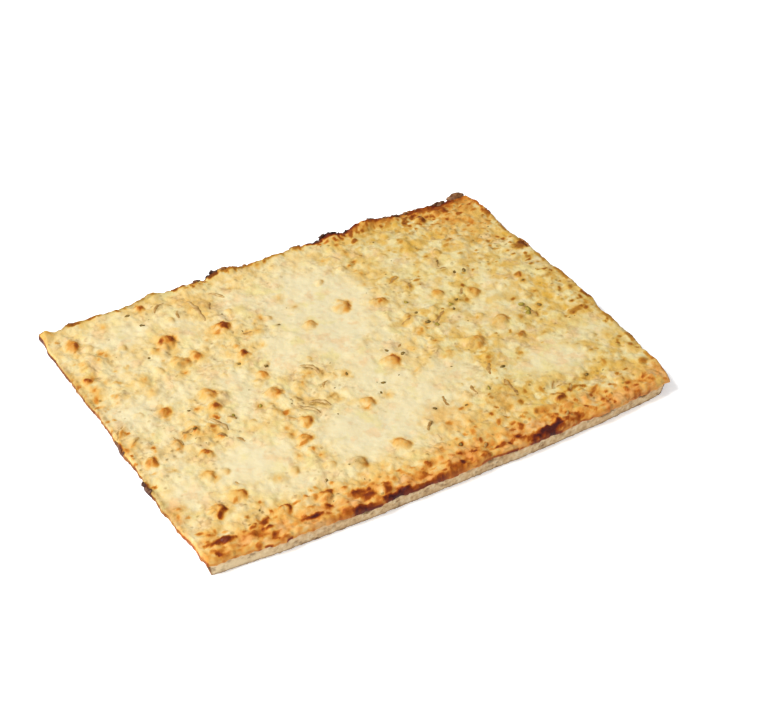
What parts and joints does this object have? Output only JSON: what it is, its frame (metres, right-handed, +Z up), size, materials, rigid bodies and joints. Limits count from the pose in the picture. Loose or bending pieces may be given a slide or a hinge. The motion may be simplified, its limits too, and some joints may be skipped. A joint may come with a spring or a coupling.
{
  "type": "pan pizza",
  "caption": "Rectangular pan pizza: a bread dough slab under melted cheese with browned blisters, onion strips, an uneven lip over its edge and burnt crags along the rim.",
  "frame": {"origin": "middle of the flat underside, at the centre of the part's box", "axes": "+X along the long side, +Y along the short side, +Z up through the cheese"},
  "size_m": [0.4158, 0.3152, 0.021],
  "materials": {
    "dough": "open bread crumb, matte",
    "cheese": "melted cheese, satin, browned in patches"
  },
  "bodies": {
    "root": {"dough_base": "dough", "cheese_topping": "cheese"}
  },
  "joints": []
}
